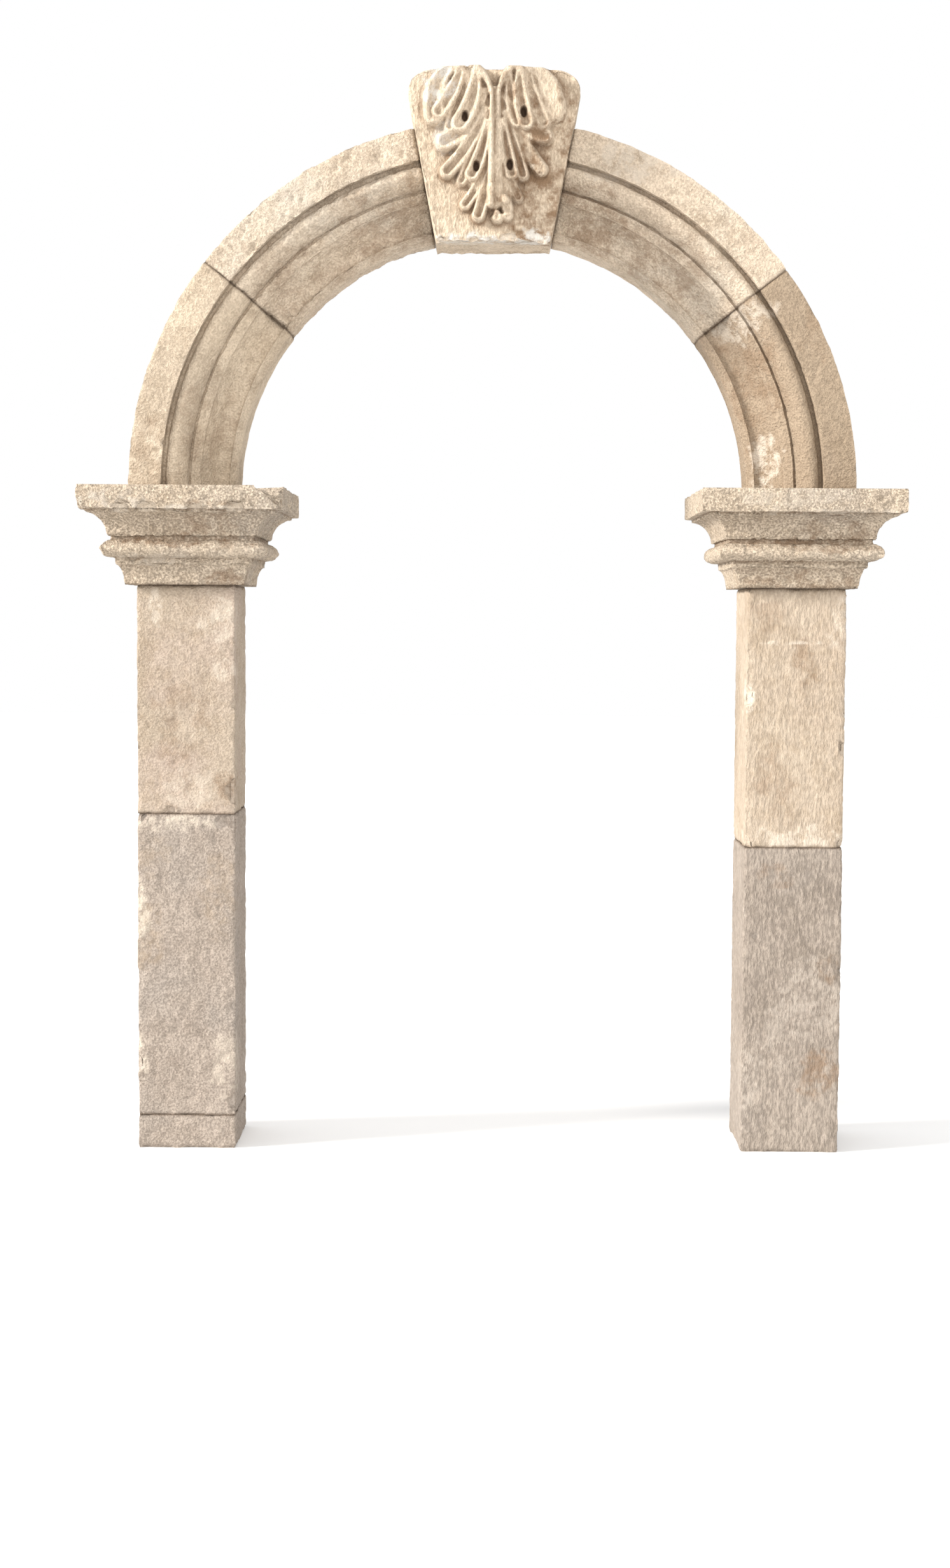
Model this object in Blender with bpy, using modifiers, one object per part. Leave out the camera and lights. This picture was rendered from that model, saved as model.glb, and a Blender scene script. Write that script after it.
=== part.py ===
"""Round-arched door surround of reclaimed limestone blocks, in metres, +Z up.

Two piers of stacked blocks carry moulded four-sided capitals. Four moulded voussoirs spring from
the capitals and meet a carved keystone. X runs across the doorway, the front faces -Y, and the
origin is on the ground at the middle of the doorway.
"""
import math
from collections import namedtuple

import bmesh
import bpy
import numpy as np
from mathutils import Vector

# Driving dimensions

JOINT_GAP = 0.0003          # air left between stones that rest on each other

CLEAR_WIDTH = 1.42          # between the inner faces of the piers
PIER_WIDTH = 0.28
PIER_DEPTH = 0.30
PIER_HEIGHT = 1.585         # ground to the underside of the capitals
BASE_STONE_HEIGHT = 0.094   # low stone under the left pier
LEFT_JOINT_HEIGHT = 0.947   # joint between the left pier's two blocks
RIGHT_JOINT_HEIGHT = 0.863
BLOCK_ARRIS = 0.006         # worn edge of the pier blocks

# Capital profile, downwards: how far each member stands out from the pier, and how high it is
FASCIA_PROJECTION = 0.142
FASCIA_HEIGHT = 0.067
BED_PROJECTION = 0.122      # set-back just under the top fascia
BED_HEIGHT = 0.008
COVE_PROJECTION = 0.069     # foot of the large cove
COVE_HEIGHT = 0.063
QUIRK_DEPTH = 0.010         # thin groove under the cove
QUIRK_HEIGHT = 0.008
TORUS_PROJECTION = 0.090
TORUS_HEIGHT = 0.051
FILLET_PROJECTION = 0.050
FILLET_HEIGHT = 0.018
NECK_PROJECTION = 0.028     # foot of the lower cove, above the pier
NECK_HEIGHT = 0.055

# Arch ring
ARCH_OVERSAIL = 0.020       # the ring's outer edge past the pier's outer face
ARCH_SETBACK = 0.012        # the ring's inner edge behind the pier's inner face
LEFT_JOINT_ANGLE = 37.8     # degrees above the springing
RIGHT_JOINT_ANGLE = 36.8
ARC_STEP = 2.6              # degrees between the rings of faces

# Archivolt members, from the soffit outwards: width along the radius and recess behind the fascia
LIP_WIDTH = 0.020
LIP_RECESS = 0.180
COVETTO_WIDTH = 0.074
COVETTO_RECESS = 0.150      # at its inner edge
COVETTO_SAG = 0.020
LIP_STEP = 0.008            # the lip's outer edge in front of the covetto
SLOPE_WIDTH = 0.027
SLOPE_RECESS = 0.082        # at its inner edge
SLOPE_OUTER_RECESS = 0.062
ROLL_FOOT = 0.004           # thin line beside the roll
ROLL_WIDTH = 0.063
ROLL_RECESS = 0.010         # crown of the roll
GROOVE_WIDTH = 0.007
GROOVE_RECESS = 0.030
ROLL_FULLNESS = 0.6         # below 1, a fuller roll than a plain arch
ROLL_LEAN = 0.6             # below 1, the crown leans outwards
FILLET_STEP = 0.008         # small steps on both sides of the sloped fillet

# Keystone
KEY_FOOT_HALF_WIDTH = 0.156
KEY_TAPER = 11.1            # degrees of each flank from upright
KEY_DROP = 0.062            # below the crown of the soffit
KEY_RISE = 0.117            # above the crown of the ring
KEY_PROUD = 0.060           # in front of the ring's fascia
SHOULDER_WIDTH = 0.085
SHOULDER_HEIGHT = 0.066
KEY_UNDERCUT = 0.024        # rise of its underside from front to back
RELIEF = 0.052              # highest carving above the keystone's ground
EYE_DEPTH = 0.040           # drilled eyes of the leaf, below its crest
KEY_COLUMNS = 84            # grid of the carved face before it is thinned
KEY_ROWS = 96
KEY_TRIANGLES = 4300

# Values that follow from the dimensions above

SPRING_Z = (PIER_HEIGHT + FASCIA_HEIGHT + BED_HEIGHT + COVE_HEIGHT + QUIRK_HEIGHT
            + TORUS_HEIGHT + FILLET_HEIGHT + NECK_HEIGHT)
PIER_X = CLEAR_WIDTH / 2 + PIER_WIDTH / 2
INNER_RADIUS = CLEAR_WIDTH / 2 + ARCH_SETBACK
OUTER_RADIUS = CLEAR_WIDTH / 2 + PIER_WIDTH + ARCH_OVERSAIL
FRONT_Y = -PIER_DEPTH / 2
BACK_Y = PIER_DEPTH / 2
KEY_FOOT_Z = SPRING_Z + INNER_RADIUS - KEY_DROP
KEY_HEIGHT = OUTER_RADIUS + KEY_RISE - INNER_RADIUS + KEY_DROP
KEY_FRONT_Y = FRONT_Y - KEY_PROUD

# The leaf on the keystone. A lobe runs from its root over a bend to its tip; these three points
# and its half-width are shares of the keystone's height, from its centre line and its foot.
# Crest and hollow are shares of the relief, and eye is the drilled hole's place along the lobe.
Lobe = namedtuple("Lobe", "root bend tip half_width crest hollow eye")

LEFT_LOBES = [
    Lobe((-0.240, 1.000), (-0.365, 0.940), (-0.345, 0.735), 0.070, 0.74, 0.20, None),
    Lobe((-0.190, 1.010), (-0.215, 0.880), (-0.318, 0.745), 0.052, 0.86, 0.30, None),
    Lobe((-0.160, 0.965), (-0.190, 0.830), (-0.258, 0.665), 0.040, 0.70, 0.34, None),
    Lobe((-0.105, 0.975), (-0.110, 0.800), (-0.196, 0.680), 0.064, 0.90, 0.36, 0.84),
    Lobe((-0.060, 0.860), (-0.140, 0.620), (-0.285, 0.580), 0.060, 0.68, 0.30, None),
    Lobe((-0.050, 0.760), (-0.130, 0.545), (-0.270, 0.410), 0.048, 0.72, 0.34, None),
    Lobe((-0.045, 0.690), (-0.110, 0.510), (-0.188, 0.355), 0.036, 0.64, 0.30, None),
    Lobe((-0.040, 0.680), (-0.065, 0.500), (-0.126, 0.390), 0.048, 0.86, 0.38, 0.80),
    Lobe((-0.034, 0.460), (-0.085, 0.320), (-0.165, 0.222), 0.036, 0.60, 0.32, None),
    Lobe((-0.024, 0.430), (-0.050, 0.280), (-0.088, 0.160), 0.042, 0.66, 0.34, None),
]
RIGHT_LOBES = [
    Lobe((0.225, 1.000), (0.330, 0.930), (0.345, 0.760), 0.076, 0.56, 0.02, None),
    Lobe((0.190, 0.990), (0.205, 0.850), (0.285, 0.690), 0.050, 0.72, 0.24, None),
    Lobe((0.145, 0.985), (0.140, 0.830), (0.186, 0.690), 0.056, 0.90, 0.34, 0.80),
    Lobe((0.085, 0.960), (0.080, 0.800), (0.135, 0.690), 0.044, 0.82, 0.34, None),
    Lobe((0.064, 0.830), (0.160, 0.620), (0.295, 0.612), 0.052, 0.62, 0.16, None),
    Lobe((0.064, 0.760), (0.170, 0.550), (0.272, 0.425), 0.048, 0.54, 0.04, None),
    Lobe((0.060, 0.740), (0.115, 0.560), (0.168, 0.390), 0.040, 0.72, 0.32, None),
    Lobe((0.052, 0.690), (0.070, 0.520), (0.104, 0.395), 0.046, 0.84, 0.36, 0.80),
    Lobe((0.050, 0.460), (0.095, 0.340), (0.142, 0.262), 0.034, 0.58, 0.24, None),
    Lobe((0.040, 0.420), (0.058, 0.300), (0.080, 0.195), 0.036, 0.62, 0.08, None),
]
STEMS = [
    Lobe((-0.018, 0.850), (-0.014, 0.550), (-0.018, 0.215), 0.020, 1.00, 0.00, None),
    Lobe((0.022, 0.850), (0.020, 0.550), (0.030, 0.235), 0.028, 0.84, 0.00, None),
    Lobe((-0.018, 0.850), (-0.030, 0.950), (-0.135, 1.015), 0.026, 1.00, 0.00, None),
    Lobe((0.022, 0.850), (0.034, 0.945), (0.110, 1.010), 0.026, 0.92, 0.00, None),
    Lobe((0.018, 0.170), (0.020, 0.160), (0.022, 0.150), 0.040, 0.62, 0.12, None),
    Lobe((0.078, 0.178), (0.080, 0.170), (0.080, 0.160), 0.036, 0.60, 0.00, None),
    Lobe((0.062, 0.262), (0.066, 0.252), (0.068, 0.240), 0.030, 0.92, 0.00, None),
    Lobe((0.000, 0.870), (0.002, 0.550), (0.004, 0.240), 0.052, 0.70, 0.00, None),
    Lobe((-0.120, 0.985), (-0.100, 0.700), (-0.050, 0.380), 0.120, 0.48, 0.00, None),
    Lobe((0.115, 0.985), (0.095, 0.700), (0.050, 0.400), 0.110, 0.46, 0.00, None),
]
SPINE_STEPS = 20            # straight pieces that a lobe's spine is measured by
ROOT_WIDTH = 0.55           # a lobe's width at its root, against its widest
RIM_PLACE = 0.62            # where a lobe's rim is highest, across its half-width
EYE_HALF_WIDTH = 0.020      # shares of the keystone's height
EYE_HALF_HEIGHT = 0.034

STONE_COLOURS = {
    "pier_left_base_stone": (0.56, 0.47, 0.39),
    "pier_left_lower_block": (0.57, 0.47, 0.38),
    "pier_left_upper_block": (0.66, 0.54, 0.42),
    "pier_right_lower_block": (0.52, 0.43, 0.35),
    "pier_right_upper_block": (0.70, 0.58, 0.45),
    "capital_left": (0.62, 0.50, 0.38),
    "capital_right": (0.66, 0.54, 0.41),
    "voussoir_left_lower": (0.64, 0.51, 0.37),
    "voussoir_left_upper": (0.67, 0.54, 0.41),
    "voussoir_right_upper": (0.61, 0.48, 0.35),
    "voussoir_right_lower": (0.62, 0.50, 0.38),
    "keystone": (0.66, 0.53, 0.39),
}
STONE_ROUGHNESS = 0.9


def clear_scene():
    for item in list(bpy.data.objects):
        bpy.data.objects.remove(item, do_unlink=True)


def stone_material(name):
    material = bpy.data.materials.new(name + "_stone")
    material.use_nodes = True
    shader = material.node_tree.nodes["Principled BSDF"]
    shader.inputs["Base Color"].default_value = (*STONE_COLOURS[name], 1.0)
    shader.inputs["Roughness"].default_value = STONE_ROUGHNESS
    shader.inputs["Metallic"].default_value = 0.0
    return material


def add_stone(collection, name, body, location=(0.0, 0.0, 0.0)):
    """Turns a bmesh into one named object with its own material."""
    bmesh.ops.recalc_face_normals(body, faces=body.faces)
    mesh = bpy.data.meshes.new(name)
    body.to_mesh(mesh)
    body.free()
    stone = bpy.data.objects.new(name, mesh)
    stone.location = location
    stone.data.materials.append(stone_material(name))
    collection.objects.link(stone)
    return stone


# Piers

def add_pier_block(collection, name, side, low_z, high_z):
    body = bmesh.new()
    bmesh.ops.create_cube(body, size=1.0)
    bmesh.ops.scale(body, vec=(PIER_WIDTH, PIER_DEPTH, high_z - low_z), verts=body.verts)
    block = add_stone(collection, name, body, (side * PIER_X, 0.0, (low_z + high_z) / 2))
    arris = block.modifiers.new("arris", "BEVEL")
    arris.width = BLOCK_ARRIS
    arris.segments = 2


def add_piers(collection):
    add_pier_block(collection, "pier_left_base_stone", -1, 0.0, BASE_STONE_HEIGHT)
    add_pier_block(collection, "pier_left_lower_block", -1,
                   BASE_STONE_HEIGHT + JOINT_GAP, LEFT_JOINT_HEIGHT)
    add_pier_block(collection, "pier_left_upper_block", -1,
                   LEFT_JOINT_HEIGHT + JOINT_GAP, PIER_HEIGHT)
    add_pier_block(collection, "pier_right_lower_block", 1, 0.0, RIGHT_JOINT_HEIGHT)
    add_pier_block(collection, "pier_right_upper_block", 1,
                   RIGHT_JOINT_HEIGHT + JOINT_GAP, PIER_HEIGHT)


# Capitals

def quarter_curve(start, end, steps):
    """Points of a hollow quarter ellipse from start to end, without the start."""
    points = []
    for step in range(1, steps + 1):
        turn = math.pi / 2 * step / steps
        points.append((start[0] + (end[0] - start[0]) * math.sin(turn),
                       start[1] + (end[1] - start[1]) * (1 - math.cos(turn))))
    return points


def capital_profile():
    """(projection from the pier, drop below the top) pairs from the top edge to the underside."""
    drop = FASCIA_HEIGHT
    profile = [(FASCIA_PROJECTION, 0.0), (FASCIA_PROJECTION, drop), (BED_PROJECTION, drop)]
    drop += BED_HEIGHT
    profile.append((BED_PROJECTION, drop))
    profile += quarter_curve((BED_PROJECTION, drop), (COVE_PROJECTION, drop + COVE_HEIGHT), 5)
    drop += COVE_HEIGHT
    profile.append((COVE_PROJECTION - QUIRK_DEPTH, drop))
    drop += QUIRK_HEIGHT
    profile.append((COVE_PROJECTION - QUIRK_DEPTH, drop))
    torus_bulge = TORUS_PROJECTION - FILLET_PROJECTION - QUIRK_DEPTH
    torus_steps = 7
    for step in range(torus_steps + 1):
        turn = math.pi * step / torus_steps
        out = FILLET_PROJECTION + QUIRK_DEPTH + torus_bulge * math.sin(turn)
        profile.append((out, drop + TORUS_HEIGHT * (1 - math.cos(turn)) / 2))
    drop += TORUS_HEIGHT
    profile.append((FILLET_PROJECTION, drop))
    drop += FILLET_HEIGHT
    profile.append((FILLET_PROJECTION, drop))
    profile += quarter_curve((FILLET_PROJECTION, drop), (NECK_PROJECTION, drop + NECK_HEIGHT), 4)
    return profile


def add_capital(collection, name, side):
    """Four mitred sides lofted down the profile."""
    body = bmesh.new()
    underside = PIER_HEIGHT + JOINT_GAP
    rings = []
    for projection, drop in capital_profile():
        half_x = PIER_WIDTH / 2 + projection
        half_y = PIER_DEPTH / 2 + projection
        z = max(SPRING_Z - drop, underside)
        corners = ((-half_x, -half_y), (half_x, -half_y), (half_x, half_y), (-half_x, half_y))
        rings.append([body.verts.new((x, y, z)) for x, y in corners])
    for upper, lower in zip(rings, rings[1:]):
        for corner in range(4):
            following = (corner + 1) % 4
            body.faces.new((upper[corner], upper[following], lower[following], lower[corner]))
    body.faces.new(rings[0])
    body.faces.new(reversed(rings[-1]))
    bmesh.ops.remove_doubles(body, verts=body.verts, dist=0.00001)
    add_stone(collection, name, body, (side * PIER_X, 0.0, 0.0))


# Arch

def archivolt_section():
    """(radius, y) outline of a voussoir, from the outer front edge round to the outer back edge."""
    lip = INNER_RADIUS + LIP_WIDTH
    covetto = lip + COVETTO_WIDTH
    slope = covetto + SLOPE_WIDTH
    roll_inner = slope + ROLL_FOOT
    roll_outer = roll_inner + ROLL_WIDTH
    groove = roll_outer + GROOVE_WIDTH
    roll_edge = SLOPE_OUTER_RECESS + FILLET_STEP
    cove_start = SLOPE_RECESS + FILLET_STEP
    front = [(OUTER_RADIUS, 0.0), (groove, 0.0), (groove, GROOVE_RECESS)]
    roll_steps = 7
    for step in range(roll_steps + 1):
        share = step / roll_steps
        crown = math.sin(math.pi * share ** ROLL_LEAN) ** ROLL_FULLNESS
        edge = GROOVE_RECESS + (roll_edge - GROOVE_RECESS) * share
        front.append((roll_outer - ROLL_WIDTH * share, edge + (ROLL_RECESS - edge) * crown))
    front += [(slope, roll_edge), (slope, SLOPE_OUTER_RECESS), (covetto, SLOPE_RECESS)]
    covetto_steps = 5
    for step in range(covetto_steps + 1):
        share = step / covetto_steps
        chord = cove_start + (COVETTO_RECESS - cove_start) * share
        front.append((covetto - COVETTO_WIDTH * share, chord + COVETTO_SAG * math.sin(math.pi * share)))
    front += [(lip, COVETTO_RECESS - LIP_STEP), (INNER_RADIUS, LIP_RECESS)]
    outline = [(radius, FRONT_Y + recess) for radius, recess in front]
    outline += [(INNER_RADIUS, BACK_Y), (OUTER_RADIUS, BACK_Y)]
    return outline


def key_flank(side):
    """A point on the keystone's flank and the flank's outward normal."""
    taper = math.radians(KEY_TAPER)
    point = Vector((side * KEY_FOOT_HALF_WIDTH, 0.0, KEY_FOOT_Z))
    normal = Vector((side * math.cos(taper), 0.0, -math.sin(taper)))
    return point, normal


def add_voussoir(collection, name, side, low_angle, high_angle, meets_key):
    """Turns the archivolt's section about the arch's centre between two angles."""
    body = bmesh.new()
    turn_low = math.radians(low_angle)
    corners = []
    for radius, y in archivolt_section():
        place = (side * radius * math.cos(turn_low), y, SPRING_Z + radius * math.sin(turn_low))
        corners.append(body.verts.new(place))
    start = body.faces.new(corners)
    steps = max(3, round((high_angle - low_angle) / ARC_STEP))
    bmesh.ops.spin(body, geom=[start, *start.edges, *corners], cent=(0.0, 0.0, SPRING_Z),
                   axis=(0.0, -side, 0.0), angle=math.radians(high_angle - low_angle),
                   steps=steps, use_duplicate=False)
    bmesh.ops.remove_doubles(body, verts=body.verts, dist=0.00001)
    if meets_key:
        point, normal = key_flank(side)
        cut = bmesh.ops.bisect_plane(body, geom=[*body.verts, *body.edges, *body.faces],
                                     plane_co=point + normal * JOINT_GAP, plane_no=normal,
                                     clear_inner=True)
        rim = [item for item in cut["geom_cut"] if isinstance(item, bmesh.types.BMEdge)]
        bmesh.ops.contextual_create(body, geom=rim)
    add_stone(collection, name, body)


def add_arch(collection):
    """Each side has a lower stone on the capital and an upper one against the keystone."""
    gap_angle = math.degrees(JOINT_GAP / INNER_RADIUS)
    crown_angle = 90.0
    for label, side, joint in (("left", -1, LEFT_JOINT_ANGLE), ("right", 1, RIGHT_JOINT_ANGLE)):
        add_voussoir(collection, "voussoir_" + label + "_lower", side, gap_angle, joint, False)
        add_voussoir(collection, "voussoir_" + label + "_upper", side, joint + gap_angle,
                     crown_angle, True)


# Keystone

def smooth_step(low, high, value):
    share = np.clip((value - low) / (high - low), 0.0, 1.0)
    return share * share * (3 - 2 * share)


def spine_point(lobe, t):
    """A point of the lobe's spine, t from 0 at its root to 1 at its tip."""
    root, bend, tip = (np.array(point) for point in (lobe.root, lobe.bend, lobe.tip))
    return root * (1 - t) ** 2 + bend * 2 * t * (1 - t) + tip * t ** 2


def spine_distance(across, up, lobe):
    """Distance of each point from the lobe's spine, and the nearest place along it, 0 to 1."""
    nearest = np.full(across.shape, np.inf)
    place = np.zeros(across.shape)
    places = np.linspace(0.0, 1.0, SPINE_STEPS + 1)
    spine = [spine_point(lobe, t) for t in places]
    for start, end, begin in zip(spine, spine[1:], places):
        run = end - start
        share = ((across - start[0]) * run[0] + (up - start[1]) * run[1]) / max(run @ run, 1e-12)
        share = np.clip(share, 0.0, 1.0)
        distance = np.hypot(across - start[0] - run[0] * share, up - start[1] - run[1] * share)
        closer = distance < nearest
        nearest = np.where(closer, distance, nearest)
        place = np.where(closer, begin + share / SPINE_STEPS, place)
    return nearest, place


def lobe_relief(across, up, lobe):
    """A cupped lobe with a raised rim round its tip, as a share of the relief."""
    distance, place = spine_distance(across, up, lobe)
    share = distance / (lobe.half_width * (ROOT_WIDTH + (1 - ROOT_WIDTH) * smooth_step(0.0, 0.7, place)))
    fall = np.clip((share - RIM_PLACE) / (1 - RIM_PLACE), 0.0, 1.0)
    wall = np.sqrt(1 - fall ** 2)
    cup = lobe.hollow * np.clip(1 - (share / RIM_PLACE) ** 2, 0.0, 1.0) ** 1.5
    return wall * (lobe.crest - cup * smooth_step(0.0, 0.3, place))


def eye_hole(across, up, lobe):
    """The drilled eye near the lobe's tip, 1 inside it."""
    centre = spine_point(lobe, lobe.eye)
    reach = np.hypot((across - centre[0]) / EYE_HALF_WIDTH, (up - centre[1]) / EYE_HALF_HEIGHT)
    return 1 - smooth_step(0.75, 1.0, reach)


def leaf_relief(across, up):
    """Height of the carving in metres over points given as shares of the keystone's height."""
    height = np.zeros(across.shape)
    for lobe in LEFT_LOBES + RIGHT_LOBES + STEMS:
        height = np.maximum(height, lobe_relief(across, up, lobe))
    height = height * RELIEF
    for lobe in LEFT_LOBES + RIGHT_LOBES:
        if lobe.eye is not None:
            floor = np.minimum(height, RELIEF - EYE_DEPTH)
            height = height + (floor - height) * eye_hole(across, up, lobe)
    return height


def key_half_width(up):
    """Half-width of the keystone at a height above its foot, with its rounded shoulders."""
    straight = KEY_FOOT_HALF_WIDTH + up * math.tan(math.radians(KEY_TAPER))
    climb = np.clip((up - (KEY_HEIGHT - SHOULDER_HEIGHT)) / SHOULDER_HEIGHT, 0.0, 1.0)
    return straight - SHOULDER_WIDTH * (1 - np.sqrt(1 - climb ** 2))


def add_keystone(collection):
    """A grid shaped to the carved front, drawn back to a flat rear face and thinned."""
    body = bmesh.new()
    bmesh.ops.create_grid(body, x_segments=KEY_COLUMNS, y_segments=KEY_ROWS, size=1.0)
    verts = list(body.verts)
    grid = np.array([vert.co[:2] for vert in verts])
    climb = np.sin((grid[:, 1] + 1) / 2 * math.pi / 2)
    up = KEY_HEIGHT * climb
    across = grid[:, 0] * key_half_width(up)
    forward = leaf_relief(across / KEY_HEIGHT, up / KEY_HEIGHT)
    nearly_one = 0.999
    below_top = grid[:, 1] < nearly_one
    on_edge = (np.abs(grid[:, 0]) > nearly_one) | (np.abs(grid[:, 1]) > nearly_one)
    forward = np.where(on_edge & below_top, 0.0, forward)
    for vert, x, z, out in zip(verts, across, up, forward):
        vert.co = (x, KEY_FRONT_Y - out, KEY_FOOT_Z + z)
    rim = [edge for edge in body.edges if edge.is_boundary]
    grown = bmesh.ops.extrude_edge_only(body, edges=rim)["geom"]
    back_verts = [item for item in grown if isinstance(item, bmesh.types.BMVert)]
    back_edges = [item for item in grown if isinstance(item, bmesh.types.BMEdge)]
    for vert in back_verts:
        up = vert.co.z - KEY_FOOT_Z
        lifted = up + KEY_UNDERCUT * (1 - up / KEY_HEIGHT)
        widened = key_half_width(lifted) / key_half_width(up)
        vert.co = (vert.co.x * widened, BACK_Y, KEY_FOOT_Z + lifted)
    bmesh.ops.contextual_create(body, geom=[edge for edge in back_edges if edge.is_boundary])
    triangles = sum(len(face.verts) - 2 for face in body.faces)
    keystone = add_stone(collection, "keystone", body)
    thin = keystone.modifiers.new("thin", "DECIMATE")
    thin.ratio = min(1.0, KEY_TRIANGLES / triangles)


def main():
    clear_scene()
    collection = bpy.data.collections.new("door_surround")
    bpy.context.scene.collection.children.link(collection)
    add_piers(collection)
    add_capital(collection, "capital_left", -1)
    add_capital(collection, "capital_right", 1)
    add_arch(collection)
    add_keystone(collection)


main()
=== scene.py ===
"""Looks of the reclaimed limestone door surround: fine carving, tooling, wear, stains, painted
shade and highlights, and light.

Every stone is a dense closed grid that stands for its solid, shaped by the same profiles and then
worn, pitted and chipped inwards. Metres, +Z up, the front faces -Y.
"""
import math
from collections import namedtuple

import bmesh
import bpy
import numpy as np
from mathutils import Matrix, Vector


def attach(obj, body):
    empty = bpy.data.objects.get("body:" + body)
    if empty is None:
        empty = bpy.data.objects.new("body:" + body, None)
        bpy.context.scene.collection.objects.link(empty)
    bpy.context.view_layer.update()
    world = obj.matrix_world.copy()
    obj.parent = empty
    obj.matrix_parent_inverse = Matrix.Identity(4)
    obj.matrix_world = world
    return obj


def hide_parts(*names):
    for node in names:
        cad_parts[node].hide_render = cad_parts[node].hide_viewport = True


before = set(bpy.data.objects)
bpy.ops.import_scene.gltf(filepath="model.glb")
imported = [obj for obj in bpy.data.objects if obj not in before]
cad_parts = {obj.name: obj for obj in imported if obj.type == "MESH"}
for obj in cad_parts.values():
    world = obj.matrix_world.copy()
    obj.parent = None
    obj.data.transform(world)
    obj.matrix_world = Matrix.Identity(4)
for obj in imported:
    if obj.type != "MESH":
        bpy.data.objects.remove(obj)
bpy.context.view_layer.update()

# Sizes of the real stones, as in the solids

JOINT_GAP = 0.0003
CLEAR_WIDTH = 1.42
PIER_WIDTH = 0.28
PIER_DEPTH = 0.30
PIER_HEIGHT = 1.585
BASE_HEIGHT = 0.094
LEFT_JOINT_HEIGHT = 0.947
RIGHT_JOINT_HEIGHT = 0.863
FASCIA_PROJECTION, FASCIA_HEIGHT = 0.142, 0.067
BED_PROJECTION, BED_HEIGHT = 0.122, 0.008
COVE_PROJECTION, COVE_HEIGHT = 0.069, 0.063
QUIRK_DEPTH, QUIRK_HEIGHT = 0.010, 0.008
TORUS_PROJECTION, TORUS_HEIGHT = 0.090, 0.051
FILLET_PROJECTION, FILLET_HEIGHT = 0.050, 0.018
NECK_PROJECTION, NECK_HEIGHT = 0.028, 0.055
ARCH_OVERSAIL = 0.020
ARCH_SETBACK = 0.012
LEFT_JOINT_ANGLE = 37.8
RIGHT_JOINT_ANGLE = 36.8
LIP_WIDTH, LIP_RECESS = 0.020, 0.180
COVETTO_WIDTH, COVETTO_RECESS, COVETTO_SAG = 0.074, 0.150, 0.020
LIP_STEP = 0.008
SLOPE_WIDTH, SLOPE_RECESS, SLOPE_OUTER_RECESS = 0.027, 0.082, 0.062
ROLL_FOOT, ROLL_WIDTH, ROLL_RECESS = 0.004, 0.063, 0.010
GROOVE_WIDTH, GROOVE_RECESS = 0.007, 0.030
ROLL_FULLNESS = 0.6
ROLL_LEAN = 0.6
FILLET_STEP = 0.008
KEY_FOOT_HALF_WIDTH = 0.156
KEY_TAPER = math.radians(11.1)
KEY_DROP = 0.062
KEY_RISE = 0.117
KEY_PROUD = 0.060
SHOULDER_WIDTH, SHOULDER_HEIGHT = 0.085, 0.066
KEY_UNDERCUT = 0.024
RELIEF = 0.052
EYE_DEPTH = 0.040

SPRING_Z = (PIER_HEIGHT + FASCIA_HEIGHT + BED_HEIGHT + COVE_HEIGHT + QUIRK_HEIGHT
            + TORUS_HEIGHT + FILLET_HEIGHT + NECK_HEIGHT)
PIER_X = CLEAR_WIDTH / 2 + PIER_WIDTH / 2
INNER_RADIUS = CLEAR_WIDTH / 2 + ARCH_SETBACK
OUTER_RADIUS = CLEAR_WIDTH / 2 + PIER_WIDTH + ARCH_OVERSAIL
FRONT_Y = -PIER_DEPTH / 2
BACK_Y = PIER_DEPTH / 2
KEY_FOOT_Z = SPRING_Z + INNER_RADIUS - KEY_DROP
KEY_HEIGHT = OUTER_RADIUS + KEY_RISE - INNER_RADIUS + KEY_DROP
KEY_FRONT_Y = FRONT_Y - KEY_PROUD

# Fineness of the surfaces and depth of the wear, in metres

FINE = 0.0042               # spacing of points on carved and moulded faces
MIDDLE = 0.0050             # on plain faces
COARSE = 0.012              # on the back
CARVED = 0.0024             # on the keystone's leaf
ARRIS = 0.005               # worn rounding of a stone's ends
SEAM = 0.0036               # depth of the dirt in a joint
EDGE_HEIGHT = 0.0022        # how far a full edge stands out of its softened surroundings
CAP_DEPTH = 0.003           # hollow of a plain end face
CAP_RINGS = 6
FOOT_CAP_DEPTH = 0.009      # hollow of the keystone's broken underside
FOOT_CAP_RINGS = 16
PATCH_DEPTH = 0.04          # how far behind the front the patches of stain, chalk, painted shade and painted highlight reach
ARCH_PATCH_DEPTH = 0.16     # on the voussoirs, whose mouldings step back
PATCH_FADE = 0.07

# Patterns

def lattice(ix, iy, iz, seed):
    """A fixed pseudo-random number from 0 to 1 for each whole point of a lattice."""
    mixed = (ix * 73856093) ^ (iy * 19349663) ^ (iz * 83492791) ^ (seed * 2654435761)
    mixed = (mixed ^ (mixed >> 13)) * 1274126177
    mixed = mixed ^ (mixed >> 16)
    return (mixed & 0xFFFFFF) / float(0xFFFFFF)


def noise(points, size, seed=0):
    """Smooth noise from -1 to 1 with lumps about size metres across (a number or one per axis)."""
    scaled = points / np.asarray(size, dtype=float)
    base = np.floor(scaled)
    part = scaled - base
    part = part * part * (3 - 2 * part)
    base = base.astype(np.int64)
    total = np.zeros(points.shape[:-1])
    for dx in (0, 1):
        wx = part[..., 0] if dx else 1 - part[..., 0]
        for dy in (0, 1):
            wy = part[..., 1] if dy else 1 - part[..., 1]
            for dz in (0, 1):
                wz = part[..., 2] if dz else 1 - part[..., 2]
                total += wx * wy * wz * lattice(base[..., 0] + dx, base[..., 1] + dy,
                                                base[..., 2] + dz, seed)
    return total * 2 - 1


def smooth_step(low, high, value):
    share = np.clip((value - low) / (high - low), 0.0, 1.0)
    return share * share * (3 - 2 * share)


# Grids: every stone is an array of rows, each row one closed ring of points

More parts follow.
